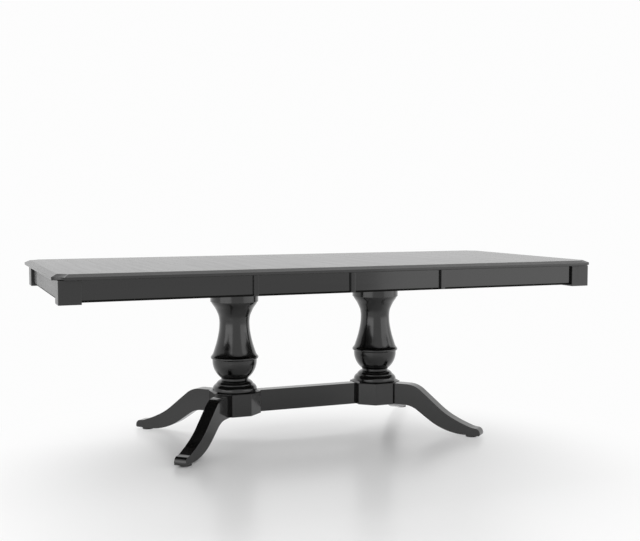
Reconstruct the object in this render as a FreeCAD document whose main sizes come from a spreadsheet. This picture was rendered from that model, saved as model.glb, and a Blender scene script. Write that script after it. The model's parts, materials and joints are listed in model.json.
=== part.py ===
import FreeCAD, Part
import math
import os
import Sketcher

# Extending dining table on two turned pedestals, standing on the floor with both leaves in.
# X runs along the table, Y from the front to the back, Z up from the floor.
# Left is the -X end and front is the -Y side.

DOC = FreeCAD.newDocument("ExtendingTable")
SHEET = DOC.addObject("Spreadsheet::Sheet", "Sizes")
SUBPARTS = []
UP = FreeCAD.Vector(0, 0, 1)
ALONG = FreeCAD.Vector(1, 0, 0)


class Size:
    """A length that carries its value and the sheet formula that it comes from."""

    def __init__(self, value, formula):
        self.value = float(value)
        self.formula = formula

    def __add__(self, other):
        other = as_size(other)
        return Size(self.value + other.value, "(%s + %s)" % (self.formula, other.formula))

    def __sub__(self, other):
        other = as_size(other)
        return Size(self.value - other.value, "(%s - %s)" % (self.formula, other.formula))

    def __mul__(self, other):
        other = as_size(other)
        return Size(self.value * other.value, "(%s * %s)" % (self.formula, other.formula))

    def __truediv__(self, other):
        other = as_size(other)
        return Size(self.value / other.value, "(%s / %s)" % (self.formula, other.formula))

    def __radd__(self, other):
        return as_size(other) + self

    def __rsub__(self, other):
        return as_size(other) - self

    def __rmul__(self, other):
        return as_size(other) * self

    def __neg__(self):
        return Size(-self.value, "(0 - %s)" % self.formula)

    def root(self):
        return Size(math.sqrt(self.value), "sqrt(%s)" % self.formula)


def as_size(number):
    """Turn a plain number, such as zero or a share, into a Size."""
    if isinstance(number, Size):
        return number
    return Size(number, "(%r)" % float(number))


def dimension(alias, value, note):
    """Write one driving dimension in the sheet, in millimetres, and return it as a Size."""
    dimension.row += 1
    SHEET.set("A%d" % dimension.row, note)
    SHEET.set("B%d" % dimension.row, str(value))
    SHEET.setAlias("B%d" % dimension.row, alias)
    return Size(value, "Sizes.%s" % alias)


dimension.row = 0

# Table top
table_height = dimension("table_height", 762, "floor to the upper face of the top")
top_thick = dimension("top_thick", 22, "thickness of the top")
top_depth = dimension("top_depth", 1010, "front edge to back edge")
end_length = dimension("end_length", 742, "seam to the end of the table")
leaf_width = dimension("leaf_width", 400, "width of one leaf along the table")
bevel_width = dimension("bevel_width", 22, "width of the bevelled border, seen from above")
bevel_drop = dimension("bevel_drop", 11, "height that the bevel falls at the edge")
cove_radius = dimension("cove_radius", 40, "scooped corners of the top")

# Aprons, corner posts and the battens that cover the seams
top_overhang = dimension("top_overhang", 20, "top edge past the corner posts")
apron_setback = dimension("apron_setback", 12, "apron face behind the face of the posts")
apron_height = dimension("apron_height", 80, "apron with its rebated lower edge")
apron_thick = dimension("apron_thick", 20, "apron board")
rebate_height = dimension("rebate_height", 6, "recessed strip along the lower edge")
rebate_depth = dimension("rebate_depth", 6, "how far the strip is set back")
post_width = dimension("post_width", 82, "square corner post")
post_height = dimension("post_height", 88, "height of the corner post under the top")
batten_width = dimension("batten_width", 18, "upright batten beside each seam")
tenon_length = dimension("tenon_length", 14, "apron tenon into the corner post")
tenon_thick = dimension("tenon_thick", 8, "thickness of that tenon")
tenon_height = dimension("tenon_height", 50, "height of that tenon")
cleat_width = dimension("cleat_width", 20, "square cleat in the corner of apron and top")
cleat_inset = dimension("cleat_inset", 40, "cleat stops short of posts and seam")

# Dowel pins that line up the edges of the top at each seam
pin_radius = dimension("pin_radius", 4, "dowel pin")
pin_length = dimension("pin_length", 30, "whole dowel pin")
pin_clearance = dimension("pin_clearance", 0.1, "dowel hole larger in radius, and the slack at its end")
pin_drop = dimension("pin_drop", 14, "pin centre below the upper face")

# Wooden slides
slide_gap = dimension("slide_gap", 0.3, "running gap of the slides and racks")
rail_spacing = dimension("rail_spacing", 400, "between the centres of the two fixed rails")
rail_width = dimension("rail_width", 36, "fixed rail")
rail_height = dimension("rail_height", 50, "fixed rail")
rail_length = dimension("rail_length", 1100, "fixed rail")
runner_width = dimension("runner_width", 30, "sliding runner")
runner_length = dimension("runner_length", 760, "sliding runner")
runner_inset = dimension("runner_inset", 130, "end of the runner from the end of the table")
groove_depth = dimension("groove_depth", 10, "dovetail groove in the rail")
groove_mouth = dimension("groove_mouth", 14, "groove height at its mouth")
groove_back = dimension("groove_back", 20, "groove height at its bottom")

# Cross beams on the pedestals and the bridge that carries the pinion
beam_width = dimension("beam_width", 90, "cross beam along the table")
beam_thick = dimension("beam_thick", 34, "cross beam height")
beam_length = dimension("beam_length", 520, "cross beam from front to back")
bridge_thick = dimension("bridge_thick", 18, "board under the rails")
bridge_width = dimension("bridge_width", 150, "bridge along the table")
guide_wall = dimension("guide_wall", 18, "wall of the channel that guides each rack")

# Geared equaliser
gear_module = dimension("gear_module", 3, "pitch diameter per tooth")
gear_thick = dimension("gear_thick", 15, "pinion and rack height")
gear_backlash = dimension("gear_backlash", 0.3, "play between the teeth along the pitch line")
rack_back = dimension("rack_back", 14, "solid wood behind the roots of the rack")
rack_past = dimension("rack_past", 60, "rack end past the pinion axis")
rack_pad = dimension("rack_pad", 180, "raised end of the rack, screwed under the top")
rack_pad_inset = dimension("rack_pad_inset", 60, "raised end of the rack from the seam")
stud_radius = dimension("stud_radius", 8, "pinion stud")
stud_head_radius = dimension("stud_head_radius", 14, "head of the pinion stud")
stud_head_height = dimension("stud_head_height", 6, "head of the pinion stud")
stud_clearance = dimension("stud_clearance", 0.06, "running fit of the pinion on its stud")
GEAR_TEETH = 20
FLANK_STEPS = 4
PRESSURE_ANGLE = math.radians(20)
DEDENDUM_SHARE = 1.25

# Turned pedestals
pedestal_spacing = dimension("pedestal_spacing", 661, "between the two pedestal axes")
capital_radius = dimension("capital_radius", 102, "disc at the top of the column")
capital_height = dimension("capital_height", 62, "disc at the top of the column")
capital_lip = dimension("capital_lip", 3, "small step under the disc")
neck_radius = dimension("neck_radius", 64, "thinnest place of the column")
bead_height = dimension("bead_height", 14, "half-round bead on the rim of the bowl")
bowl_radius = dimension("bowl_radius", 95.6, "ball-shaped bowl under the bead")
bowl_rim = dimension("bowl_rim", 4.5, "upright rim of the bowl")
bowl_foot = dimension("bowl_foot", 58, "radius where the bowl meets the moulding")
rod_radius = dimension("rod_radius", 5, "tie rod down the middle of each pedestal")
rod_clearance = dimension("rod_clearance", 0.5, "hole round the tie rod, in radius")
nut_radius = dimension("nut_radius", 10, "hexagon nut over its corners")
nut_height = dimension("nut_height", 8, "hexagon nut")
nut_clearance = dimension("nut_clearance", 0.1, "bore of the nut round the rod, in radius")
nut_room = dimension("nut_room", 1, "room round the nut that is let into the block")
rod_past = dimension("rod_past", 3, "rod end past its nut")

# Stepped moulding between column and block
moulding_height = dimension("moulding_height", 58.5, "whole stepped moulding")
plinth_radius = dimension("plinth_radius", 92, "plain step on the block")
plinth_height = dimension("plinth_height", 4.5, "plain step on the block")
lower_tier_radius = dimension("lower_tier_radius", 94.5, "upright rim of the lower tier")
lower_tier_rim = dimension("lower_tier_rim", 10, "height of that rim")
lower_tier_rise = dimension("lower_tier_rise", 18, "height of its swelling slope")
upper_ledge_radius = dimension("upper_ledge_radius", 80, "ledge at the top of the lower tier")
upper_tier_radius = dimension("upper_tier_radius", 78.5, "upright rim of the upper tier")
upper_tier_rim = dimension("upper_tier_rim", 3, "height of that rim")
collar_radius = dimension("collar_radius", 58, "plain collar under the bowl")
collar_height = dimension("collar_height", 8, "plain collar under the bowl")
tier_swell = dimension("tier_swell", 2.5, "how far both slopes swell past a straight line")

# Base: eight-sided blocks, legs, stretcher and glides
block_flats = dimension("block_flats", 202, "eight-sided block across its flats")
block_height = dimension("block_height", 93, "block, leg root and stretcher")
block_bottom = dimension("block_bottom", 115, "floor to the underside of the block")
stretcher_thick = dimension("stretcher_thick", 45, "stretcher between the blocks")
leg_thick = dimension("leg_thick", 50, "width of each leg")
leg_reach = dimension("leg_reach", 503, "pedestal axis to the tip of the toe")
leg_shoulder = dimension("leg_shoulder", 201, "axis to where the top of the leg turns down")
leg_armpit = dimension("leg_armpit", 186, "axis to where the underside turns down")
instep_reach = dimension("instep_reach", 363, "axis to where the top of the foot levels out")
instep_height = dimension("instep_height", 76, "height of that place")
arch_reach = dimension("arch_reach", 341, "axis to where the sole levels out")
toe_height = dimension("toe_height", 34, "height of the top of the toe")
toe_rake = dimension("toe_rake", 3, "toe leans back at the sole")
shoulder_round = dimension("shoulder_round", 105, "rounding of the shoulder")
instep_round = dimension("instep_round", 320, "rounding of the instep")
armpit_round = dimension("armpit_round", 110, "rounding under the shoulder")
arch_round = dimension("arch_round", 290, "rounding of the arch")
toe_round = dimension("toe_round", 23, "rounding on top of the toe")
sole_round = dimension("sole_round", 6, "rounding at the front of the sole")
glide_radius = dimension("glide_radius", 24, "glide under the foot")
glide_thick = dimension("glide_thick", 8, "glide under the foot")
glide_inset = dimension("glide_inset", 48, "glide centre behind the tip of the toe")

# Bolts and screws
bolt_radius = dimension("bolt_radius", 4, "bolt that joins a leg or the stretcher to its block")
bolt_length = dimension("bolt_length", 90, "half in the block and half in the other piece")
bolt_clearance = dimension("bolt_clearance", 0.15, "hole round a bolt or screw, in radius")
bolt_inset = dimension("bolt_inset", 26, "bolt from the upper and lower faces of the block")
screw_radius = dimension("screw_radius", 2.5, "shank of a wood screw")
screw_length = dimension("screw_length", 40, "wood screw")
screw_head_radius = dimension("screw_head_radius", 5.5, "hexagon head of a wood screw, over its corners")
screw_head_height = dimension("screw_head_height", 3, "hexagon head of a wood screw")
screw_bite = dimension("screw_bite", 14, "screw length in the piece that it holds")

DOC.recompute()

# Heights that several pieces share, from the floor up
block_top = block_bottom + block_height
column_bottom = block_top + moulding_height
top_bottom = table_height - top_thick
rail_bottom = top_bottom - slide_gap - rail_height
column_top = rail_bottom - beam_thick
apron_bottom = top_bottom - apron_height
post_bottom = top_bottom - post_height
rack_bottom = rail_bottom + slide_gap
rack_top = rack_bottom + gear_thick

# Places along the table, with the seam of each end piece at one leaf from the middle
half_spacing = pedestal_spacing / 2
post_face = end_length - top_overhang
apron_face_end = post_face - apron_setback
post_inner = post_face - post_width

# Places from the middle of the table to its front
half_depth = top_depth / 2
post_face_y = half_depth - top_overhang
apron_face_y = post_face_y - apron_setback
post_inner_y = post_face_y - post_width
half_rail = rail_spacing / 2
block_reach = block_flats / 2

# The legs stand a little nearer to the depth of the table than to its length, square to the
# slanting faces of the blocks, whose front faces are those of a regular eight-sided block
LEG_ANGLE = 48
LEG_ALONG_SHARE = math.cos(math.radians(LEG_ANGLE))
LEG_ACROSS_SHARE = math.sin(math.radians(LEG_ANGLE))
EIGHTH_SHARE = math.tan(math.radians(22.5))
front_face_half = block_reach * EIGHTH_SHARE
leg_face = front_face_half * LEG_ALONG_SHARE + block_reach * LEG_ACROSS_SHARE
side_face_half = (leg_face - block_reach * LEG_ALONG_SHARE) / LEG_ACROSS_SHARE

# Faces of the left block that take the stretcher and its two legs, each with its direction
# in degrees and its distance from the axis
BLOCK_JOINTS = ((0, block_reach), (180 - LEG_ANGLE, leg_face), (180 + LEG_ANGLE, leg_face))

# Shares of the depth where the dowel pins sit
PIN_PLACE_SHARES = (-0.38, -0.13, 0.13, 0.38)

# Shares of the length where a runner and the raised end of a rack are screwed to the top
RUNNER_SCREW_SHARES = (0.1, 0.6)
PAD_SCREW_SHARES = (0.25, 0.75)

# The turned shaft from the bead to the capital, as a share of its height and a share
# of the way from the neck's radius to the radius at the capital
SHAFT_SHARES = (
    (0.105, 0.646),
    (0.256, 0.34),
    (0.402, 0.129),
    (0.609, 0),
    (0.759, 0.143),
    (0.871, 0.48),
    (0.953, 0.846),
)

# The right end is the left one turned about the middle of the table
SIDE_SIGN = {"left": -1, "right": 1}
FACE_SIGN = {"front": -1, "back": 1}
TURN_SIGN = {"left": 1, "right": -1}
END_TURN = {"left": 0, "right": 180}
LEG_TURN = {
    ("left", "front"): 180 + LEG_ANGLE,
    ("left", "back"): 180 - LEG_ANGLE,
    ("right", "front"): -LEG_ANGLE,
    ("right", "back"): LEG_ANGLE,
}

# Tolerance for finding an edge of a blank by its place
EDGE_SLACK = 0.01


def bind(item, name, size):
    """Tie a property of an object to the sheet."""
    item.setExpression(name, as_size(size).formula)


def place(item, x, y, z, turn=0):
    """Put an object at a point worked out from the sheet, turned about the vertical in degrees."""
    spot = FreeCAD.Vector(as_size(x).value, as_size(y).value, as_size(z).value)
    item.Placement = FreeCAD.Placement(spot, FreeCAD.Rotation(UP, turn))
    if item.TypeId != "Part::Feature":
        bind(item, "Placement.Base.x", x)
        bind(item, "Placement.Base.y", y)
        bind(item, "Placement.Base.z", z)


def place_in_end(item, side, x, y, z, turn=0):
    """Put an object in the frame of an end piece, which starts at its seam."""
    way = TURN_SIGN[side]
    place(item, (x - leaf_width) * way, y * way, z, turn + END_TURN[side])


def finish(item, label):
    """Name a finished sub-part and put it on the list to write."""
    item.Label = label
    SUBPARTS.append(item)
    return item


def new_body():
    return DOC.addObject("PartDesign::Body", "Body")


def add_sketch(body, role, offset=0):
    """Start a sketch on one of the body's own planes, moved along the plane's normal."""
    sketch = body.newObject("Sketcher::SketchObject", "Sketch")
    plane = [item for item in body.Origin.OriginFeatures if item.Role == role][0]
    sketch.AttachmentSupport = (plane, [""])
    sketch.MapMode = "FlatFace"
    bind(sketch, "AttachmentOffset.Base.z", offset)
    return sketch


def hold(sketch, kind, edge, end, size):
    """Hold a point of a sketch edge at a distance from the origin along one axis."""
    rule = Sketcher.Constraint(kind, -1, 1, edge, end, as_size(size).value)
    name = "%s_%d_%d" % (kind, edge, end)
    sketch.renameConstraint(sketch.addConstraint(rule), name)
    bind(sketch, "Constraints.%s" % name, size)


def pin_point(sketch, edge, end, x, y):
    """Hold a point of a sketch edge at a place from the sheet."""
    hold(sketch, "DistanceX", edge, end, x)
    hold(sketch, "DistanceY", edge, end, y)


def flat_point(corner):
    return FreeCAD.Vector(as_size(corner[0]).value, as_size(corner[1]).value, 0)


def arc_edge(start, stop, centre, way):
    """Arc between two points about a centre, which runs anticlockwise from the first for a way of 1
    and from the second otherwise, because a sketch keeps its arcs anticlockwise."""
    if way < 0:
        start, stop = stop, start
    first = math.atan2(start.y - centre.y, start.x - centre.x)
    last = math.atan2(stop.y - centre.y, stop.x - centre.x)
    middle = first + (last - first) % math.tau / 2
    reach = (start - centre).Length
    return Part.Arc(start, centre + FreeCAD.Vector(math.cos(middle), math.sin(middle), 0) * reach, stop)


def round_about(x, y):
    """Curve of an outline that bulges outwards, about a centre."""
    return "arc", (x, y), 1


def hollow_about(x, y):
    """Curve of an outline that is scooped inwards, about a centre."""
    return "arc", (x, y), -1


def smooth_through(points):
    """Curve of an outline that runs smoothly through a row of points."""
    return "spline", points, 0


def hold_centre(sketch, edge, start, stop, centre):
    """Hold the centre of an arc whose ends are held, along the line that is still free."""
    chord = flat_point(stop) - flat_point(start)
    if abs(chord.x) > abs(chord.y):
        hold(sketch, "DistanceY", edge, 3, centre[1])
    else:
        hold(sketch, "DistanceX", edge, 3, centre[0])


def outline_edge(start, stop, curve):
    """Straight edge, arc or smooth curve between two points of an outline."""
    kind, guide, way = curve
    if kind == "arc":
        return arc_edge(start, stop, flat_point(guide), way)
    if kind == "spline":
        edge = Part.BSplineCurve()
        edge.interpolate([start] + [flat_point(point) for point in guide] + [stop])
        return edge
    return Part.LineSegment(start, stop)


def draw_outline(sketch, corners, curves=None):
    """Draw a closed outline, anticlockwise. Each edge is straight unless a curve is given for it."""
    curves = curves or {}
    spots = [flat_point(corner) for corner in corners]
    following = spots[1:] + spots[:1]
    edges = []
    for index, (start, stop) in enumerate(zip(spots, following)):
        edges.append(outline_edge(start, stop, curves.get(index, ("line", None, 0))))
    sketch.addGeometry(edges, False)
    firsts = []
    for edge, spot in zip(sketch.Geometry, spots):
        near = (edge.StartPoint - spot).Length < (edge.EndPoint - spot).Length
        firsts.append(1 if near else 2)
    for index, first in enumerate(firsts):
        after = (index + 1) % len(corners)
        joint = Sketcher.Constraint("Coincident", index, 3 - first, after, firsts[after])
        sketch.addConstraint(joint)
    for index, corner in enumerate(corners):
        pin_point(sketch, index, firsts[index], corner[0], corner[1])
    for index, (kind, guide, way) in curves.items():
        if kind == "arc":
            after = (index + 1) % len(corners)
            hold_centre(sketch, index, corners[index], corners[after], guide)


def draw_circle(sketch, x, y, radius):
    """Draw one circle with its centre and radius from the sheet."""
    circle = Part.Circle(flat_point((x, y)), UP, as_size(radius).value)
    drawn = sketch.addGeometry(circle, False)
    pin_point(sketch, drawn, 3, x, y)
    rule = Sketcher.Constraint("Radius", drawn, as_size(radius).value)
    name = "Radius_%d" % drawn
    sketch.renameConstraint(sketch.addConstraint(rule), name)
    bind(sketch, "Constraints.%s" % name, radius)


def rectangle(left, low, right, high):
    return [(left, low), (right, low), (right, high), (left, high)]


def add_pad(body, sketch, length, reverse=False, midplane=False):
    pad = body.newObject("PartDesign::Pad", "Pad")
    pad.Profile = sketch
    bind(pad, "Length", length)
    pad.Reversed = reverse
    pad.Midplane = midplane
    return pad


def add_pocket(body, sketch, length, reverse=False):
    pocket = body.newObject("PartDesign::Pocket", "Pocket")
    pocket.Profile = sketch
    bind(pocket, "Length", length)
    pocket.Reversed = reverse
    return pocket


def add_revolution(body, sketch):
    turning = body.newObject("PartDesign::Revolution", "Revolution")
    turning.Profile = sketch
    turning.ReferenceAxis = (sketch, ["V_Axis"])
    turning.Angle = 360
    return turning


def round_edges(body, base, radius, wanted):
    """Fillet the edges of a feature whose middle point passes the test."""
    DOC.recompute()
    names = []
    for number, edge in enumerate(base.Shape.Edges, 1):
        if wanted(edge):
            names.append("Edge%d" % number)
    fillet = body.newObject("PartDesign::Fillet", "Fillet")
    fillet.Base = (base, names)
    bind(fillet, "Radius", radius)
    return fillet


def make_box(length, width, height):
    box = DOC.addObject("Part::Box", "Box")
    bind(box, "Length", length)
    bind(box, "Width", width)
    bind(box, "Height", height)
    return box


def make_rod(radius, length):
    rod = DOC.addObject("Part::Cylinder", "Rod")
    bind(rod, "Radius", radius)
    bind(rod, "Height", length)
    return rod


def make_hexagon(radius, height):
    hexagon = DOC.addObject("Part::Prism", "Hexagon")
    hexagon.Polygon = 6
    bind(hexagon, "Circumradius", radius)
    bind(hexagon, "Height", height)
    return hexagon


def cut_away(base, tools):
    """Cut a set of drills out of a piece."""
    drills = DOC.addObject("Part::MultiFuse", "Drills")
    drills.Shapes = tools
    cut = DOC.addObject("Part::Cut", "Cut")
    cut.Base = base
    cut.Tool = drills
    return cut


def join(items):
    """Group separate solids that share one node."""
    group = DOC.addObject("Part::Compound", "Group")
    group.Links = items
    return group


def aim(item, x, y, z, direction):
    """Put a rod's foot at a point and lay it along a direction."""
    spot = FreeCAD.Vector(as_size(x).value, as_size(y).value, as_size(z).value)
    item.Placement = FreeCAD.Placement(spot, FreeCAD.Rotation(UP, direction))
    bind(item, "Placement.Base.x", x)
    bind(item, "Placement.Base.y", y)
    bind(item, "Placement.Base.z", z)
    return item


# Table top

def drill_seam(body, level, reverse):
    """Drill the row of dowel holes in one seam face of a panel."""
    sketch = add_sketch(body, "YZ_Plane", level)
    for share in PIN_PLACE_SHARES:
        draw_circle(sketch, top_depth * share, top_thick - pin_drop, pin_radius + pin_clearance)
    add_pocket(body, sketch, pin_length / 2 + pin_clearance, reverse)


def draw_end_outline(sketch, inset):
    """Outline of an end panel, drawn at a distance inside its edges; the scoops keep their centres."""
    scoop = cove_radius + inset
    reach = (scoop * scoop - as_size(inset) * inset).root()
    front = inset - half_depth
    back = half_depth - inset
    end = inset - end_length
    corners = [
        (reach - end_length, front),
        (0, front),
        (0, back),
        (reach - end_length, back),
        (end, half_depth - reach),
        (end, reach - half_depth),
    ]
    curves = {3: hollow_about(-end_length, half_depth), 5: hollow_about(-end_length, -half_depth)}
    draw_outline(sketch, corners, curves)


def make_end_top(side):
    """End panel with scooped corners and a bevel on its three free sides."""
    body = new_body()
    edge = top_thick - bevel_drop
    slab = add_sketch(body, "XY_Plane")
    draw_end_outline(slab, 0)
    add_pad(body, slab, edge)
    lower = add_sketch(body, "XY_Plane", edge)
    draw_end_outline(lower, 0)
    upper = add_sketch(body, "XY_Plane", top_thick)
    draw_end_outline(upper, bevel_width)
    bevel = body.newObject("PartDesign::AdditiveLoft", "Bevel")
    bevel.Profile = lower
    bevel.Sections = [upper]
    bevel.Ruled = True
    drill_seam(body, 0, False)
    drills = []
    for x, y in top_screw_places(side):
        drills.append(aim(make_rod(screw_radius + bolt_clearance, screw_bite), x, y, 0, UP))
    panel = cut_away(body, drills)
    place_in_end(panel, side, 0, 0, top_bottom)
    finish(panel, "%s_top" % side)


def make_leaf_top(number, seam):
    """Leaf panel, bevelled along its front and back edges only."""
    body = new_body()
    sketch = add_sketch(body, "YZ_Plane")
    edge = top_thick - bevel_drop
    corners = [
        (-half_depth, 0),
        (half_depth, 0),
        (half_depth, edge),
        (half_depth - bevel_width, top_thick),
        (bevel_width - half_depth, top_thick),
        (-half_depth, edge),
    ]
    draw_outline(sketch, corners)
    add_pad(body, sketch, leaf_width)
    drill_seam(body, 0, True)
    drill_seam(body, leaf_width, False)
    place(body, seam, 0, top_bottom)
    finish(body, "leaf_%d_top" % number)


def make_pins(label, seam):
    """Four dowel pins, half in the panel on the right of a seam and half past it."""
    pins = []
    for share in PIN_PLACE_SHARES:
        pin = make_rod(pin_radius, pin_length)
        pins.append(aim(pin, seam - pin_length / 2, top_depth * share, table_height - pin_drop, ALONG))
    finish(join(pins), label)


# Aprons, posts, battens and cleats

def add_tenon(body, level, reverse, inward):
    """Stand a stub tenon on one end of an apron."""
    sketch = add_sketch(body, "YZ_Plane", level)
    near = (apron_thick - tenon_thick) / 2 * inward
    low = (apron_height - tenon_height) / 2
    far = near + tenon_thick * inward
    draw_outline(sketch, rectangle(near, low, far, low + tenon_height))
    add_pad(body, sketch, tenon_length, reverse)


def make_apron(label, length, inward, tenons):
    """Apron board along its own X axis, with its lower edge rebated on the outside."""
    body = new_body()
    sketch = add_sketch(body, "YZ_Plane")
    corners = [
        (rebate_depth * inward, 0),
        (apron_thick * inward, 0),
        (apron_thick * inward, apron_height),
        (0, apron_height),
        (0, rebate_height),
        (rebate_depth * inward, rebate_height),
    ]
    draw_outline(sketch, corners)
    add_pad(body, sketch, length)
    if tenons > 0:
        add_tenon(body, 0, True, inward)
    if tenons > 1:
        add_tenon(body, length, False, inward)
    return finish(body, label)


def make_post(side, face, inward):
    """Square corner post with a mortise for each of its two aprons."""
    body = new_body()
    sketch = add_sketch(body, "XY_Plane")
    draw_outline(sketch, rectangle(0, 0, post_width, post_width * inward))
    add_pad(body, sketch, post_height)
    near = apron_setback + (apron_thick - tenon_thick) / 2
    far = near + tenon_thick
    low = post_height - (apron_height + tenon_height) / 2
    high = low + tenon_height
    sketch = add_sketch(body, "YZ_Plane", post_width)
    draw_outline(sketch, rectangle(near * inward, low, far * inward, high))
    add_pocket(body, sketch, tenon_length)
    sketch = add_sketch(body, "XZ_Plane", post_width * -inward)
    draw_outline(sketch, rectangle(near, low, far, high))
    add_pocket(body, sketch, tenon_length, inward > 0)
    place_in_end(body, side, -post_face, post_face_y * -inward, post_bottom)
    finish(body, "%s_%s_post" % (face, side))


def make_batten(label, x, face_sign):
    """Upright batten that stands out from the apron beside a seam."""
    batten = make_box(batten_width, apron_setback, apron_height)
    front = apron_face_y if face_sign > 0 else -post_face_y
    place(batten, x, front, apron_bottom)
    finish(batten, label)


def make_cleats(side):
    """Square cleats glued in the corner between each apron and the top."""
    along = post_inner - cleat_inset * 2
    across = (post_inner_y - cleat_inset) * 2
    apron_back = apron_face_y - apron_thick
    cleats = []
    for start in (-apron_back, apron_back - cleat_width):
        cleat = make_box(along, cleat_width, cleat_width)
        place(cleat, cleat_inset - post_inner, start, 0)
        cleats.append(cleat)
    cleat = make_box(cleat_width, across, cleat_width)
    place(cleat, apron_thick - apron_face_end, -across / 2, 0)
    cleats.append(cleat)
    group = join(cleats)
    place_in_end(group, side, 0, 0, top_bottom - cleat_width)
    finish(group, "%s_apron_cleats" % side)


def make_end_frame(side):
    """Aprons, posts and cleats of one end piece."""
    for face, inward in (("front", 1), ("back", -1)):
        inward = inward * TURN_SIGN[side]
        apron = make_apron("%s_%s_apron" % (side, face), post_inner, inward, 1)
        place_in_end(apron, side, -post_inner, apron_face_y * -inward, apron_bottom)
        make_post(side, face, inward)
    apron = make_apron("%s_end_apron" % side, post_inner_y * 2, -1, 2)
    place_in_end(apron, side, -apron_face_end, -post_inner_y, apron_bottom, 90)
    make_cleats(side)


def make_leaf_frame(number, seam):
    """Aprons and battens of one leaf."""
    for face, sign in (("front", -1), ("back", 1)):
        apron = make_apron("leaf_%d_%s_apron" % (number, face), leaf_width, -sign, 0)
        place(apron, seam, apron_face_y * sign, apron_bottom)
        make_batten("leaf_%d_%s_batten" % (number, face), seam, sign)


# Slides

def groove_half(depth):
    """Half the height of the dovetail groove at a depth from the rail's face."""
    slope = (groove_back - groove_mouth) / (groove_depth * 2)
    return groove_mouth / 2 + slope * depth


def make_rail(face, sign):
    """Fixed rail with a dovetail groove on both sides."""
    body = new_body()
    sketch = add_sketch(body, "YZ_Plane")
    side = rail_width / 2
    floor = side - groove_depth
    middle = rail_height / 2
    mouth = groove_half(0)
    back = groove_half(groove_depth)
    right = [(side, middle - mouth), (floor, middle - back), (floor, middle + back), (side, middle + mouth)]
    left = [(-y, z) for y, z in reversed(right)]
    corners = [(-side, 0), (side, 0)] + right + [(side, rail_height), (-side, rail_height)] + left
    draw_outline(sketch, corners)
    add_pad(body, sketch, rail_length, midplane=True)
    drills = []
    for x, bite in rail_screw_places():
        drills.append(aim(make_rod(screw_radius + bolt_clearance, bite), x, 0, 0, UP))
    rail = cut_away(body, drills)
    place(rail, 0, half_rail * sign, rail_bottom)
    finish(rail, "%s_centre_rail" % face)


def runner_face(side):
    """Distance from the middle of the table to the runner's face, and the way to its rail."""
    step = rail_width / 2 + slide_gap
    if side == "left":
        return half_rail + step, -1
    return half_rail - step, 1


def make_runner(side, face, sign):
    """Sliding runner screwed under an end piece, with a dovetail tongue in the rail."""
    body = new_body()
    sketch = add_sketch(body, "YZ_Plane")
    level, toward = runner_face(side)
    reach = toward * sign * TURN_SIGN[side]
    middle = rail_height / 2 - slide_gap
    base = groove_half(-slide_gap) - slide_gap
    tip = groove_half(groove_depth - slide_gap) - slide_gap
    corners = [
        (0, 0),
        (runner_width * -reach, 0),
        (runner_width * -reach, rail_height),
        (0, rail_height),
        (0, middle + base),
        (groove_depth * reach, middle + tip),
        (groove_depth * reach, middle - tip),
        (0, middle - base),
    ]
    draw_outline(sketch, corners)
    add_pad(body, sketch, runner_length)
    drills = []
    for share in RUNNER_SCREW_SHARES:
        drills += screw_drills(runner_length * share, runner_width / 2 * -reach, rail_height, screw_bite)
    runner = cut_away(body, drills)
    y = level * sign * TURN_SIGN[side]
    place_in_end(runner, side, runner_inset - end_length, y, rack_bottom)
    finish(runner, "%s_%s_runner" % (face, side))


def top_screw_places(side):
    """Places under an end panel, in its own frame, where runners and rack are screwed to it."""
    level, toward = runner_face(side)
    line = level - runner_width / 2 * toward
    places = []
    for share in RUNNER_SCREW_SHARES:
        x = runner_inset - end_length + runner_length * share
        places += [(x, line), (x, -line)]
    for share in PAD_SCREW_SHARES:
        places.append((-rack_pad_inset - rack_pad * share, rack_line()))
    return places


def screw_drills(x, y, thick, bite):
    """Counterbore and shank hole for a screw that goes up through a piece."""
    sink = thick + bite - screw_length + screw_head_height
    wide = aim(make_rod(screw_head_radius + bolt_clearance, sink), x, y, 0, UP)
    narrow = aim(make_rod(screw_radius + bolt_clearance, thick), x, y, 0, UP)
    return [wide, narrow]


def make_screw(x, y, tip):
    """Hexagon-headed wood screw pointing up, with its tip at a height."""
    screw = DOC.addObject("Part::Fuse", "Screw")
    screw.Base = make_rod(screw_radius, screw_length)
    screw.Tool = make_hexagon(screw_head_radius, screw_head_height)
    return aim(screw, x, y, tip - screw_length, UP)


def make_top_screws(side):
    screws = [make_screw(x, y, 0) for x, y in top_screw_places(side)]
    group = join(screws)
    place_in_end(group, side, 0, 0, top_bottom + screw_bite)
    finish(group, "%s_slide_screws" % side)


# Cross beams, bridge and the screws that hold the rails on them

def rail_screw_places():
    """Places along a rail where screws come up into it, and how far each goes in."""
    return [
        (-half_spacing, screw_bite),
        (0, screw_length - bridge_thick),
        (half_spacing, screw_bite),
    ]


def make_beam(side, sign):
    """Beam across the top of one pedestal, which carries both rails."""
    blank = make_box(beam_width, beam_length, beam_thick)
    place(blank, -beam_width / 2, -beam_length / 2, 0)
    drills = [aim(make_rod(rod_radius + rod_clearance, beam_thick), 0, 0, 0, UP)]
    for y in (-half_rail, half_rail):
        drills += screw_drills(0, y, beam_thick, screw_bite)
    beam = cut_away(blank, drills)
    place(beam, half_spacing * sign, 0, column_top)
    finish(beam, "%s_cross_beam" % side)


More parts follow.
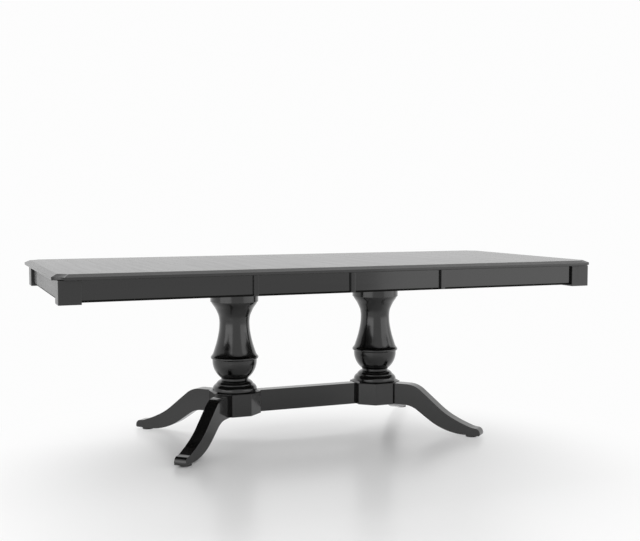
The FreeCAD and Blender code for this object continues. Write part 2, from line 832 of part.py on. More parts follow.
def make_bridge():
    """Board under both rails that carries the pinion and guides the two racks."""
    body = new_body()
    sketch = add_sketch(body, "YZ_Plane")
    end = half_rail + rail_width / 2
    inner = rack_outer() + slide_gap
    outer = inner + guide_wall
    wall_top = bridge_thick + gear_thick
    right = [(outer, bridge_thick), (outer, wall_top), (inner, wall_top), (inner, bridge_thick)]
    left = [(-y, z) for y, z in reversed(right)]
    corners = [(-end, 0), (end, 0), (end, bridge_thick)] + right + left + [(-end, bridge_thick)]
    draw_outline(sketch, corners)
    add_pad(body, sketch, bridge_width, midplane=True)
    drills = [aim(make_rod(stud_radius + bolt_clearance, bridge_thick), 0, 0, 0, UP)]
    for y in (-half_rail, half_rail):
        drills += screw_drills(0, y, bridge_thick, screw_length - bridge_thick)
    bridge = cut_away(body, drills)
    place(bridge, 0, 0, rail_bottom - bridge_thick)
    finish(bridge, "gear_bridge")


def make_rail_screws():
    screws = []
    for y in (-half_rail, half_rail):
        for x, bite in rail_screw_places():
            screws.append(make_screw(x, y, rail_bottom + bite))
    finish(join(screws), "rail_screws")


# Geared equaliser

def pitch_radius():
    return gear_module * GEAR_TEETH / 2


def rack_root():
    return pitch_radius() + gear_module * DEDENDUM_SHARE


def rack_outer():
    return rack_root() + rack_back


def rack_line():
    """Line along the middle of the plain end of the rack."""
    return (pitch_radius() - gear_module + rack_outer()) / 2


def tooth_edges():
    """One pinion tooth on the X axis: root, involute flank, tip and involute flank."""
    pitch = pitch_radius().value
    base = pitch * math.cos(PRESSURE_ANGLE)
    tip = pitch + gear_module.value
    root = pitch - gear_module.value * DEDENDUM_SHARE
    half_tooth = (math.pi * gear_module.value - gear_backlash.value) / 4 / pitch
    start_turn = half_tooth + math.tan(PRESSURE_ANGLE) - PRESSURE_ANGLE

    def flank_point(radius, sign):
        slant = math.acos(min(1, base / radius))
        turn = sign * (start_turn - math.tan(slant) + slant)
        return FreeCAD.Vector(radius * math.cos(turn), radius * math.sin(turn), 0)

    def root_point(turn):
        return FreeCAD.Vector(root * math.cos(turn), root * math.sin(turn), 0)

    steps = [base + (tip - base) * step / FLANK_STEPS for step in range(FLANK_STEPS + 1)]
    rising = [flank_point(radius, -1) for radius in steps]
    falling = [flank_point(radius, 1) for radius in reversed(steps)]
    half_pitch = math.pi / GEAR_TEETH
    flanks = []
    for points in (rising, falling):
        flank = Part.BSplineCurve()
        flank.interpolate(points)
        flanks.append(flank.toShape())
    top = Part.Arc(rising[-1], FreeCAD.Vector(tip, 0, 0), falling[0]).toShape()
    return [
        Part.makeLine(root_point(-half_pitch), root_point(-start_turn)),
        Part.makeLine(root_point(-start_turn), rising[0]),
        flanks[0],
        top,
        flanks[1],
        Part.makeLine(falling[-1], root_point(start_turn)),
        Part.makeLine(root_point(start_turn), root_point(half_pitch)),
    ]


def make_pinion():
    """Pinion with involute teeth, standing on the bridge between the racks."""
    edges = []
    for tooth in range(GEAR_TEETH):
        for edge in tooth_edges():
            copy = edge.copy()
            copy.rotate(FreeCAD.Vector(0, 0, 0), UP, 360 * tooth / GEAR_TEETH)
            edges.append(copy)
    disc = Part.Face(Part.Wire(Part.__sortEdges__(edges))).extrude(UP * gear_thick.value)
    bore = Part.makeCylinder((stud_radius + stud_clearance).value, gear_thick.value)
    pinion = DOC.addObject("Part::Feature", "Pinion")
    pinion.Shape = disc.cut(bore)
    place(pinion, 0, 0, rack_bottom)
    finish(pinion, "equaliser_pinion")


def make_stud():
    """Headed stud that the pinion turns on."""
    shank = make_rod(stud_radius, bridge_thick + slide_gap * 2 + gear_thick)
    head = make_rod(stud_head_radius, stud_head_height)
    place(head, 0, 0, bridge_thick + slide_gap * 2 + gear_thick)
    stud = DOC.addObject("Part::Fuse", "Stud")
    stud.Base = shank
    stud.Tool = head
    place(stud, 0, 0, rail_bottom - bridge_thick)
    finish(stud, "pinion_stud")


def rack_outline():
    """Toothed edge towards the pinion and a straight back, seen from above."""
    pitch = math.pi * gear_module.value
    tip = pitch_radius().value - gear_module.value
    root = rack_root().value
    slant = math.tan(PRESSURE_ANGLE)
    half_tooth = (pitch - gear_backlash.value) / 4
    half_tip = half_tooth - gear_module.value * slant
    half_root = half_tooth + gear_module.value * DEDENDUM_SHARE * slant
    plain_start = -(leaf_width + rack_pad_inset).value
    far_end = plain_start - rack_pad.value
    near_end = rack_past.value
    first = math.ceil((plain_start + half_root) / pitch - 0.5)
    last = math.floor((near_end - half_root) / pitch - 0.5)
    points = [(far_end, rack_outer().value), (far_end, tip), (plain_start, tip), (plain_start, root)]
    for tooth in range(first, last + 1):
        middle = (tooth + 0.5) * pitch
        points.append((middle - half_root, root))
        points.append((middle - half_tip, tip))
        points.append((middle + half_tip, tip))
        points.append((middle + half_root, root))
    points += [(near_end, root), (near_end, rack_outer().value)]
    corners = [FreeCAD.Vector(x, y, 0) for x, y in points]
    return Part.Face(Part.makePolygon(corners + [corners[0]]))


def make_rack(side):
    """Rack with its raised plain end screwed under the end panel."""
    teeth = DOC.addObject("Part::Feature", "Teeth")
    teeth.Shape = rack_outline().extrude(UP * gear_thick.value)
    tip = pitch_radius() - gear_module
    pad = make_box(rack_pad, rack_outer() - tip, top_bottom - rack_top)
    place(pad, -leaf_width - rack_pad_inset - rack_pad, tip, gear_thick)
    blank = DOC.addObject("Part::Fuse", "Rack")
    blank.Base = teeth
    blank.Tool = pad
    drills = []
    for share in PAD_SCREW_SHARES:
        x = -leaf_width - rack_pad_inset - rack_pad * share
        drills += screw_drills(x, rack_line(), top_bottom - rack_bottom, screw_bite)
    rack = cut_away(blank, drills)
    place(rack, 0, 0, rack_bottom, END_TURN[side])
    finish(rack, "%s_rack" % side)


# Pedestals

def make_column(side, sign):
    """Turned column: bowl, bead, waisted shaft and the disc of the capital."""
    body = new_body()
    sketch = add_sketch(body, "XZ_Plane")
    bore = rod_radius + rod_clearance
    equator = (bowl_radius * bowl_radius - bowl_foot * bowl_foot).root()
    bead_low = equator + bowl_rim
    bead_top = bead_low + bead_height
    height = column_top - column_bottom
    shaft_top = height - capital_height
    neck_top = capital_radius - capital_lip
    shaft = []
    for up_share, out_share in SHAFT_SHARES:
        radius = neck_radius + (neck_top - neck_radius) * out_share
        shaft.append((radius, bead_top + (shaft_top - bead_top) * up_share))
    corners = [
        (bore, 0),
        (bowl_foot, 0),
        (bowl_radius, equator),
        (bowl_radius, bead_low),
        (bowl_radius, bead_top),
        (neck_top, shaft_top),
        (capital_radius, shaft_top),
        (capital_radius, height),
        (bore, height),
    ]
    curves = {
        1: round_about(0, equator),
        3: round_about(bowl_radius, bead_low + bead_height / 2),
        4: smooth_through(shaft),
    }
    draw_outline(sketch, corners, curves)
    add_revolution(body, sketch)
    place(body, half_spacing * sign, 0, column_bottom)
    finish(body, "%s_column" % side)


def swelling(start, stop, swell):
    """Arc of an outline that bulges past the straight line between two points."""
    run = stop[0] - start[0]
    rise = stop[1] - start[1]
    chord = (run * run + rise * rise).root()
    behind = chord / (swell * 8) - swell / (chord * 2)
    middle_x = (start[0] + stop[0]) / 2
    middle_z = (start[1] + stop[1]) / 2
    return round_about(middle_x - rise * behind, middle_z + run * behind)


def make_moulding(side, sign):
    """Stepped turning under the column: plain step, two swelling tiers and a collar."""
    body = new_body()
    sketch = add_sketch(body, "XZ_Plane")
    bore = rod_radius + rod_clearance
    lower_rim_top = plinth_height + lower_tier_rim
    ledge = lower_rim_top + lower_tier_rise
    corners = [
        (bore, 0),
        (plinth_radius, 0),
        (plinth_radius, plinth_height),
        (lower_tier_radius, plinth_height),
        (lower_tier_radius, lower_rim_top),
        (upper_ledge_radius, ledge),
        (upper_tier_radius, ledge),
        (upper_tier_radius, ledge + upper_tier_rim),
        (collar_radius, moulding_height - collar_height),
        (collar_radius, moulding_height),
        (bore, moulding_height),
    ]
    curves = {
        4: swelling(corners[4], corners[5], tier_swell),
        7: swelling(corners[7], corners[8], tier_swell),
    }
    draw_outline(sketch, corners, curves)
    add_revolution(body, sketch)
    place(body, half_spacing * sign, 0, block_top)
    finish(body, "%s_base_moulding" % side)


def make_block(side, sign):
    """Eight-sided block that takes the legs, the stretcher and the tie rod."""
    body = new_body()
    sketch = add_sketch(body, "XY_Plane")
    half = [
        (block_reach, -side_face_half),
        (block_reach, side_face_half),
        (front_face_half, block_reach),
        (-front_face_half, block_reach),
    ]
    corners = half + [(-x, -y) for x, y in half]
    draw_outline(sketch, corners)
    add_pad(body, sketch, block_height)
    drills = [
        aim(make_rod(rod_radius + rod_clearance, block_height), 0, 0, 0, UP),
        aim(make_rod(nut_radius + nut_room, nut_recess()), 0, 0, 0, UP),
    ]
    for turn, reach in BLOCK_JOINTS:
        drills += make_bolts(bolt_radius + bolt_clearance, turn, reach)
    block = cut_away(body, drills)
    place(block, half_spacing * sign, 0, block_bottom, END_TURN[side])
    finish(block, "%s_base_block" % side)


def nut_recess():
    return nut_height + rod_past + nut_room


def make_bolts(radius, turn, reach, base=0):
    """Two rods, one over the other, through a block's face at a distance from its axis."""
    bolts = []
    start = reach - bolt_length / 2
    across = math.cos(math.radians(turn))
    over = math.sin(math.radians(turn))
    for level in (bolt_inset, block_height - bolt_inset):
        rod = make_rod(radius, bolt_length)
        direction = FreeCAD.Vector(across, over, 0)
        bolts.append(aim(rod, start * across, start * over, base + level, direction))
    return bolts


def make_leg(side, face):
    """Curved leg: a flat blank cut to shape, with its corners rounded into one line."""
    body = new_body()
    sketch = add_sketch(body, "XZ_Plane")
    corners = [
        (leg_face, block_bottom),
        (leg_armpit, block_bottom),
        (arch_reach, glide_thick),
        (leg_reach - toe_rake, glide_thick),
        (leg_reach, toe_height),
        (instep_reach, instep_height),
        (leg_shoulder, block_top),
        (leg_face, block_top),
    ]
    draw_outline(sketch, corners)
    step = add_pad(body, sketch, leg_thick, midplane=True)
    rounds = (
        (1, armpit_round),
        (2, arch_round),
        (3, sole_round),
        (4, toe_round),
        (5, instep_round),
        (6, shoulder_round),
    )
    for corner, radius in rounds:
        spot = flat_point(corners[corner])
        step = round_edges(body, step, radius, lambda edge: upright_at(edge, spot))
    leg = cut_away(body, make_bolts(bolt_radius + bolt_clearance, 0, leg_face, block_bottom))
    place(leg, half_spacing * SIDE_SIGN[side], 0, 0, LEG_TURN[side, face])
    finish(leg, "%s_%s_leg" % (face, side))


def upright_at(edge, spot):
    """Does this edge run across the blank at one corner of its outline?"""
    return all(abs(vertex.X - spot.x) + abs(vertex.Z - spot.y) < EDGE_SLACK for vertex in edge.Vertexes)


def make_stretcher():
    """Board on edge between the two blocks."""
    length = pedestal_spacing - block_flats
    blank = make_box(length, stretcher_thick, block_height)
    place(blank, block_reach, -stretcher_thick / 2, 0)
    drills = make_bolts(bolt_radius + bolt_clearance, 0, block_reach)
    drills += make_bolts(bolt_radius + bolt_clearance, 0, pedestal_spacing - block_reach)
    stretcher = cut_away(blank, drills)
    place(stretcher, -half_spacing, 0, block_bottom)
    finish(stretcher, "stretcher")


def make_glides():
    """Round glides under the four feet."""
    glides = []
    reach = leg_reach - glide_inset
    for x_sign in SIDE_SIGN.values():
        for y_sign in FACE_SIGN.values():
            glide = make_rod(glide_radius, glide_thick)
            x = (half_spacing + reach * LEG_ALONG_SHARE) * x_sign
            place(glide, x, reach * LEG_ACROSS_SHARE * y_sign, 0)
            glides.append(glide)
    finish(join(glides), "floor_glides")


def make_joint_bolts():
    """Bolts of both blocks: two to each leg and two to each end of the stretcher."""
    groups = []
    for side, sign in SIDE_SIGN.items():
        bolts = []
        for turn, reach in BLOCK_JOINTS:
            bolts += make_bolts(bolt_radius, turn, reach)
        group = join(bolts)
        place(group, half_spacing * sign, 0, block_bottom, END_TURN[side])
        groups.append(group)
    finish(join(groups), "joint_bolts")


def lower_nut_bottom():
    return block_bottom + nut_recess() - nut_height


def make_nut():
    nut = DOC.addObject("Part::Cut", "Nut")
    nut.Base = make_hexagon(nut_radius, nut_height)
    nut.Tool = make_rod(rod_radius + nut_clearance, nut_height)
    return nut


def make_tie_rods():
    """Rod down the middle of each pedestal, with a nut at both ends."""
    rods = []
    nuts = []
    start = lower_nut_bottom() - rod_past
    upper_nut = column_top + beam_thick
    for sign in SIDE_SIGN.values():
        rod = make_rod(rod_radius, upper_nut + nut_height + rod_past - start)
        place(rod, half_spacing * sign, 0, start)
        rods.append(rod)
        for level in (lower_nut_bottom(), upper_nut):
            nut = make_nut()
            place(nut, half_spacing * sign, 0, level)
            nuts.append(nut)
    finish(join(rods), "tie_rods")
    finish(join(nuts), "tie_rod_nuts")


def make_everything():
    """The fixed stand first, then the slides, both end pieces and the two leaves."""
    for side, sign in SIDE_SIGN.items():
        make_column(side, sign)
        make_moulding(side, sign)
        make_block(side, sign)
        make_beam(side, sign)
        for face in FACE_SIGN:
            make_leg(side, face)
    make_stretcher()
    make_glides()
    make_joint_bolts()
    make_tie_rods()
    for face, sign in FACE_SIGN.items():
        make_rail(face, sign)
    make_bridge()
    make_rail_screws()
    make_stud()
    make_pinion()
    for side in SIDE_SIGN:
        make_end_top(side)
        make_end_frame(side)
        for face, sign in FACE_SIGN.items():
            make_runner(side, face, sign)
        make_rack(side)
        make_top_screws(side)
    for number, seam in ((1, -leaf_width), (2, as_size(0))):
        make_leaf_top(number, seam)
        make_leaf_frame(number, seam)
        make_pins("leaf_%d_pins" % number, seam)
    for face, sign in FACE_SIGN.items():
        make_batten("right_%s_batten" % face, leaf_width, sign)
    make_pins("right_pins", leaf_width)


def check_everything():
    """Stop if an object failed or a sub-part has no sound solid."""
    for item in DOC.Objects:
        if "Invalid" in item.State or "Error" in item.State:
            raise RuntimeError("failed object: %s in %s" % (item.Label, item.State))
    for item in SUBPARTS:
        shape = item.Shape
        if shape.isNull() or not shape.isValid() or not shape.Solids:
            raise RuntimeError("unsound shape: %s" % item.Label)


make_everything()
DOC.recompute()
check_everything()
os.makedirs("parts", exist_ok=True)
for part in SUBPARTS:
    part.Shape.exportStep("parts/%s.step" % part.Label)
    box = part.Shape.optimalBoundingBox()
    size = "%.0f x %.0f x %.0f mm" % (box.XLength, box.YLength, box.ZLength)
    volume = part.Shape.Volume / 1000
    print("%-26s %d solids, %s, %.0f cm3" % (part.Label, len(part.Shape.Solids), size, volume))
print(len(SUBPARTS), "sub-parts")
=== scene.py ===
import json
import math

import bmesh
import bpy
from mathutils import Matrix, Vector


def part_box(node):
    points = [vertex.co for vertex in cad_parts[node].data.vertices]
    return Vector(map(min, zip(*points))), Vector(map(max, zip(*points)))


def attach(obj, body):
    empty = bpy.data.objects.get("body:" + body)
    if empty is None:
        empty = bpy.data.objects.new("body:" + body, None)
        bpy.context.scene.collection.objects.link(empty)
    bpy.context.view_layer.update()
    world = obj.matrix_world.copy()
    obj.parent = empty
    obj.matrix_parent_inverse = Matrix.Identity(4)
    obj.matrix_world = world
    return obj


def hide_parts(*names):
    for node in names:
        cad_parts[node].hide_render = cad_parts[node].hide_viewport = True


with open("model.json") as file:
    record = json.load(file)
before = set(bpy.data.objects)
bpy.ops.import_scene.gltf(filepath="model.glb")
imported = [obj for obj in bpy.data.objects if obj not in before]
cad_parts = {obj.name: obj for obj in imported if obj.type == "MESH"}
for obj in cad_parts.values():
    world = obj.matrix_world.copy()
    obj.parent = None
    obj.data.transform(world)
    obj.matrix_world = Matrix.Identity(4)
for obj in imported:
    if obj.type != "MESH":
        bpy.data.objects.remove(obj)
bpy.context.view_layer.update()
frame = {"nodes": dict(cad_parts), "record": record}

# Black stained dining table on two turned pedestals, standing on a pale studio floor.
# Everything is in metres in the frame of the CAD: X along the table, Y from front to back.

NODES = frame["nodes"]
BODIES = frame["record"]["behaviour"]["bodies"]
BODY_OF = {node: body for body, nodes in BODIES.items() for node in nodes}
SIDES = ("left", "right")
TOPS = ("left_top", "right_top", "leaf_1_top", "leaf_2_top")

# Angle of the legs from the length of the table
LEG_ANGLE = math.radians(48)

# The camera of the photograph, with its angles in radians and its lens in millimetres
CAMERA_PLACE = Vector((-1.567, -4.0248, 1.0148))
CAMERA_YAW = 0.3848
CAMERA_PITCH = 0.0691
CAMERA_LENS = 55.70
SENSOR_WIDTH = 36.0
CAMERA_REACH = 60

# The studio: its white surround, the ground that fades into it, and where the upright lamps stand
SURROUND = 0.98
AMBIENT = 0.80
GROUND_COLOUR = 0.95
GROUND_ROUGHNESS = 0.26
FLOOR_HALF_SIZE = 9
FLOOR_CENTRE = (-0.30, -0.75, 0)
FADE_START = 0.6
FADE_END = 1.65
LAMP_DISTANCE = 4.6
LAMP_LOW = 0.02
LAMP_HIGH = 3.0

# Limits of what is merged, taken as flat, rounded and shaded as a sharp edge
MERGE_DISTANCE = 1e-5
FLAT_ANGLE = math.radians(0.5)
EDGE_ANGLE = math.radians(25)
SMOOTH_ANGLE = math.radians(35)

# Rounding of the sharp edges of each kind of piece
TOP_EASE = 0.0009
APRON_EASE = 0.0008
POST_EASE = 0.0012
BLOCK_EASE = 0.0015
STRETCHER_EASE = 0.0020
LEG_EASE = 0.0025
TURNED_EASE = 0.0005
EASE_STEPS = 2
LEG_EASE_STEPS = 3


# Camera, light and floor

def add_camera():
    data = bpy.data.cameras.new("camera")
    data.sensor_fit = "HORIZONTAL"
    data.sensor_width = SENSOR_WIDTH
    data.lens = CAMERA_LENS
    data.clip_end = CAMERA_REACH
    camera = bpy.data.objects.new("camera", data)
    camera.location = CAMERA_PLACE
    camera.rotation_euler = (math.pi / 2 - CAMERA_PITCH, 0, -CAMERA_YAW)
    bpy.context.scene.collection.objects.link(camera)
    bpy.context.scene.camera = camera


def grey(level):
    return (level, level, level, 1)


def seen_share(tree):
    """1 where the camera, a reflection or glass looks, otherwise 0."""
    path = tree.nodes.new("ShaderNodeLightPath")
    share = path.outputs["Is Camera Ray"]
    for name in ("Is Glossy Ray", "Is Transmission Ray"):
        larger = tree.nodes.new("ShaderNodeMath")
        larger.operation = "MAXIMUM"
        tree.links.new(share, larger.inputs[0])
        tree.links.new(path.outputs[name], larger.inputs[1])
        share = larger.outputs[0]
    return share


def mix_in_white(tree, share, plain, white, output_kind):
    """Send out the plain shader, and by a share of 0 to 1 the white one in its place."""
    mix = tree.nodes.new("ShaderNodeMixShader")
    out = tree.nodes.new(output_kind)
    tree.links.new(share, mix.inputs[0])
    tree.links.new(plain.outputs[0], mix.inputs[1])
    tree.links.new(white.outputs[0], mix.inputs[2])
    tree.links.new(mix.outputs[0], out.inputs[0])


def add_world():
    """White surround for what the camera and reflections see, plain soft light for the rest."""
    world = bpy.data.worlds.new("studio")
    bpy.context.scene.world = world
    world.use_nodes = True
    tree = world.node_tree
    tree.nodes.clear()
    lit = tree.nodes.new("ShaderNodeBackground")
    lit.inputs["Color"].default_value = grey(1)
    lit.inputs["Strength"].default_value = AMBIENT
    white = tree.nodes.new("ShaderNodeBackground")
    white.inputs["Color"].default_value = grey(SURROUND)
    white.inputs["Strength"].default_value = 1
    mix_in_white(tree, seen_share(tree), lit, white, "ShaderNodeOutputWorld")


def add_soft_lamp(name, width, height, level):
    """Rectangular lamp that the camera doesn't see, as bright as a surface of that level."""
    data = bpy.data.lights.new(name, "AREA")
    data.shape = "RECTANGLE"
    data.size = width
    data.size_y = height
    data.energy = level * math.pi * width * height
    lamp = bpy.data.objects.new(name, data)
    lamp.visible_camera = False
    bpy.context.scene.collection.objects.link(lamp)
    return lamp


def add_light_box(name, bearing, width, level):
    """Upright soft light that stands round the table, at a bearing from the front towards +X."""
    lamp = add_soft_lamp(name, width, LAMP_HIGH - LAMP_LOW, level)
    angle = math.radians(bearing)
    direction = Vector((math.sin(angle), -math.cos(angle), 0))
    lamp.location = direction * LAMP_DISTANCE + Vector((0, 0, (LAMP_LOW + LAMP_HIGH) / 2))
    lamp.rotation_euler = (math.pi / 2, 0, angle)


def add_ceiling_light(height, back, width, depth, level):
    """Soft light overhead, which reflections don't show."""
    lamp = add_soft_lamp("ceiling_light", width, depth, level)
    lamp.location = (0, back, height)
    lamp.visible_glossy = False


def fade_share(tree):
    """0 in the middle of the floor and 1 away from it."""
    place = tree.nodes.new("ShaderNodeTexCoord")
    away = tree.nodes.new("ShaderNodeVectorMath")
    away.operation = "LENGTH"
    tree.links.new(place.outputs["Object"], away.inputs[0])
    fade = tree.nodes.new("ShaderNodeMapRange")
    fade.interpolation_type = "SMOOTHSTEP"
    fade.inputs["From Min"].default_value = FADE_START
    fade.inputs["From Max"].default_value = FADE_END
    tree.links.new(away.outputs["Value"], fade.inputs["Value"])
    return fade.outputs["Result"]


def studio_ground():
    """Pale ground with a soft sheen that fades into the white surround."""
    material = bpy.data.materials.new("studio_floor")
    material.use_nodes = True
    tree = material.node_tree
    tree.nodes.clear()
    ground = tree.nodes.new("ShaderNodeBsdfPrincipled")
    ground.inputs["Base Color"].default_value = grey(GROUND_COLOUR)
    ground.inputs["Roughness"].default_value = GROUND_ROUGHNESS
    ground.inputs["Specular IOR Level"].default_value = 0.5
    white = tree.nodes.new("ShaderNodeEmission")
    white.inputs["Color"].default_value = grey(SURROUND)
    both = tree.nodes.new("ShaderNodeMath")
    both.operation = "MULTIPLY"
    tree.links.new(fade_share(tree), both.inputs[0])
    tree.links.new(seen_share(tree), both.inputs[1])
    mix_in_white(tree, both.outputs[0], ground, white, "ShaderNodeOutputMaterial")
    return material


def add_floor():
    work = bmesh.new()
    bmesh.ops.create_grid(work, x_segments=1, y_segments=1, size=FLOOR_HALF_SIZE)
    mesh = bpy.data.meshes.new("studio_floor")
    work.to_mesh(mesh)
    work.free()
    mesh.materials.append(studio_ground())
    floor = bpy.data.objects.new("studio_floor", mesh)
    floor.location = FLOOR_CENTRE
    bpy.context.scene.collection.objects.link(floor)


# Materials

# Stretch and turn of the pattern for each way that the grain can run
ACROSS = 1.0
WITH_GRAIN = 0.045
GRAIN = {
    "x": ((WITH_GRAIN, ACROSS, ACROSS), (0, 0, 0)),
    "y": ((ACROSS, WITH_GRAIN, ACROSS), (0, 0, 0)),
    "z": ((ACROSS, ACROSS, WITH_GRAIN), (0, 0, 0)),
    "rising": ((WITH_GRAIN, ACROSS, ACROSS), (0, 0, -LEG_ANGLE)),
    "falling": ((WITH_GRAIN, ACROSS, ACROSS), (0, 0, LEG_ANGLE)),
}

# Colours of each finish, from the darkest place of its pattern to the lightest
BLACK_STAIN = (
    (0.34, (0.0005, 0.0005, 0.0005)),
    (0.50, (0.0012, 0.0012, 0.0011)),
    (0.66, (0.0028, 0.0027, 0.0026)),
)
# Painted shade: near-black colours of the recessed strip under the aprons, which together with its lack of
# gloss stand for the shade in the recess
PAINTED_SHADE_STAIN = (
    (0.3, (0.0015, 0.0014, 0.0013)),
    (0.7, (0.0040, 0.0038, 0.0036)),
)
SLIDE_STAIN = (
    (0.30, (0.020, 0.014, 0.010)),
    (0.52, (0.030, 0.022, 0.017)),
    (0.74, (0.045, 0.034, 0.026)),
)
ZINC = (
    (0.3, (0.50, 0.51, 0.53)),
    (0.7, (0.64, 0.65, 0.67)),
)
BLACK_NYLON = (
    (0.3, (0.012, 0.012, 0.012)),
    (0.7, (0.022, 0.022, 0.021)),
)

# Share of the fine streaks in the colour of the black wood; broad figure makes up the rest
STREAK_SHARE = 0.6


class Finish:
    """A material with its main shader and a few short ways to add nodes to it."""

    def __init__(self, name, roughness, metallic=0.0):
        self.material = bpy.data.materials.new(name)
        self.material.use_nodes = True
        self.nodes = self.material.node_tree.nodes
        self.links = self.material.node_tree.links
        self.shader = self.nodes["Principled BSDF"]
        self.shader.inputs["Roughness"].default_value = roughness
        self.shader.inputs["Metallic"].default_value = metallic
        self.place = self.nodes.new("ShaderNodeTexCoord").outputs["Object"]

    def board(self, grain):
        """Places on the piece, drawn out along its grain."""
        scale, turn = GRAIN[grain]
        mapping = self.nodes.new("ShaderNodeMapping")
        mapping.inputs["Scale"].default_value = scale
        mapping.inputs["Rotation"].default_value = turn
        self.links.new(self.place, mapping.inputs["Vector"])
        return mapping.outputs["Vector"]

    def noise(self, place, scale, detail, roughness, distortion=0.0):
        noise = self.nodes.new("ShaderNodeTexNoise")
        noise.inputs["Scale"].default_value = scale
        noise.inputs["Detail"].default_value = detail
        noise.inputs["Roughness"].default_value = roughness
        noise.inputs["Distortion"].default_value = distortion
        self.links.new(place, noise.inputs["Vector"])
        return noise.outputs["Fac"]

    def spread(self, value, low, high, to_low, to_high):
        """Spread one range of a pattern over another."""
        node = self.nodes.new("ShaderNodeMapRange")
        node.inputs["From Min"].default_value = low
        node.inputs["From Max"].default_value = high
        node.inputs["To Min"].default_value = to_low
        node.inputs["To Max"].default_value = to_high
        self.links.new(value, node.inputs["Value"])
        return node.outputs["Result"]

    def blended(self, first, second, share):
        """Share of the first pattern with the rest of the second."""
        node = self.nodes.new("ShaderNodeMix")
        node.inputs["Factor"].default_value = share
        self.links.new(second, node.inputs["A"])
        self.links.new(first, node.inputs["B"])
        return node.outputs["Result"]

    def colours(self, value, stops):
        """Colour ramp from (position, colour) pairs to the base colour."""
        ramp = self.nodes.new("ShaderNodeValToRGB")
        elements = ramp.color_ramp.elements
        elements[0].position = stops[0][0]
        elements[0].color = (*stops[0][1], 1)
        elements[1].position = stops[-1][0]
        elements[1].color = (*stops[-1][1], 1)
        for position, colour in stops[1:-1]:
            elements.new(position).color = (*colour, 1)
        self.links.new(value, ramp.inputs["Fac"])
        self.links.new(ramp.outputs["Color"], self.shader.inputs["Base Color"])

    def relief(self, height, strength, distance):
        bump = self.nodes.new("ShaderNodeBump")
        bump.inputs["Strength"].default_value = strength
        bump.inputs["Distance"].default_value = distance
        self.links.new(height, bump.inputs["Height"])
        self.links.new(bump.outputs["Normal"], self.shader.inputs["Normal"])

    def rough(self, value):
        self.links.new(value, self.shader.inputs["Roughness"])


def black_wood(name, grain, smoothest, roughest, coat, coat_roughness):
    """Wood stained black under lacquer, with fine open grain, between two roughnesses."""
    finish = Finish(name, smoothest)
    board = finish.board(grain)
    streaks = finish.noise(board, scale=38, detail=4, roughness=0.6, distortion=0.6)
    figure = finish.noise(board, scale=9, detail=3, roughness=0.55, distortion=0.4)
    pores = finish.noise(board, scale=420, detail=2, roughness=0.5)
    finish.colours(finish.blended(streaks, figure, STREAK_SHARE), BLACK_STAIN)
    finish.rough(finish.spread(streaks, 0.3, 0.7, smoothest, roughest))
    finish.relief(finish.spread(pores, 0.30, 0.46, 0.0, 1.0), strength=0.02, distance=0.0002)
    finish.shader.inputs["Specular IOR Level"].default_value = 0.5
    finish.shader.inputs["Coat Weight"].default_value = coat
    finish.shader.inputs["Coat Roughness"].default_value = coat_roughness
    return finish.material


def painted_shade_strip():
    """Black stained wood made rough, dark and without gloss in the recessed strip under the aprons, as
    painted shade in the recess.
    """
    finish = Finish("painted_shade_strip", 0.7)
    streaks = finish.noise(finish.board("x"), scale=60, detail=3, roughness=0.5)
    finish.colours(streaks, PAINTED_SHADE_STAIN)
    finish.relief(streaks, strength=0.1, distance=0.0002)
    finish.shader.inputs["Specular IOR Level"].default_value = 0.12
    return finish.material


def stained_wood():
    """Dark stained beech of the slides, beams and dowels, with flecks along the grain."""
    finish = Finish("slide_wood", 0.5)
    board = finish.board("x")
    streaks = finish.noise(board, scale=60, detail=4, roughness=0.6, distortion=0.4)
    flecks = finish.noise(board, scale=300, detail=2, roughness=0.5)
    finish.colours(streaks, SLIDE_STAIN)
    finish.rough(finish.spread(streaks, 0.3, 0.7, 0.42, 0.58))
    finish.relief(flecks, strength=0.2, distance=0.0003)
    return finish.material


def zinc_steel():
    """Zinc plated steel of the screws, bolts, rods and nuts."""
    finish = Finish("zinc_steel", 0.35, metallic=1.0)
    brushed = finish.noise(finish.place, scale=220, detail=3, roughness=0.6)
    finish.colours(brushed, ZINC)
    finish.rough(finish.spread(brushed, 0.3, 0.7, 0.28, 0.42))
    finish.relief(brushed, strength=0.15, distance=0.0001)
    return finish.material


def nylon():
    """Moulded nylon of the pinion and the glides."""
    finish = Finish("nylon", 0.45)
    cloud = finish.noise(finish.place, scale=90, detail=2, roughness=0.5)
    finish.colours(cloud, BLACK_NYLON)
    finish.relief(cloud, strength=0.1, distance=0.0002)
    return finish.material


# Ways to make and finish a piece

def finish_piece(work, name, node, material):
    """Turn the work mesh into a wooden object that rides where a CAD node does."""
    mesh = bpy.data.meshes.new(name)
    work.to_mesh(mesh)
    work.free()
    mesh.shade_smooth()
    mesh.set_sharp_from_angle(angle=SMOOTH_ANGLE)
    mesh.materials.append(material)
    piece = bpy.data.objects.new(name, mesh)
    bpy.context.scene.collection.objects.link(piece)
    weighted = piece.modifiers.new("weighted", "WEIGHTED_NORMAL")
    weighted.keep_sharp = True
    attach(piece, BODY_OF[node])
    return piece


def round_edges(work, edges, width, steps):
    bmesh.ops.bevel(
        work, geom=edges, offset=width, offset_type="OFFSET", affect="EDGES",
        segments=steps, profile=0.5, material=-1, clamp_overlap=True,
    )


def ease_edges(work, ease, steps):
    """Round every sharp edge of the work mesh."""
    edges = []
    for edge in work.edges:
        if len(edge.link_faces) == 2 and edge.calc_face_angle() > EDGE_ANGLE:
            edges.append(edge)
    round_edges(work, edges, ease, steps)


def whole_copy(node):
    """Work mesh of a CAD node with its flats made whole."""
    work = bmesh.new()
    work.from_mesh(NODES[node].data)
    bmesh.ops.remove_doubles(work, verts=work.verts, dist=MERGE_DISTANCE)
    bmesh.ops.dissolve_limit(work, angle_limit=FLAT_ANGLE, verts=work.verts, edges=work.edges)
    return work


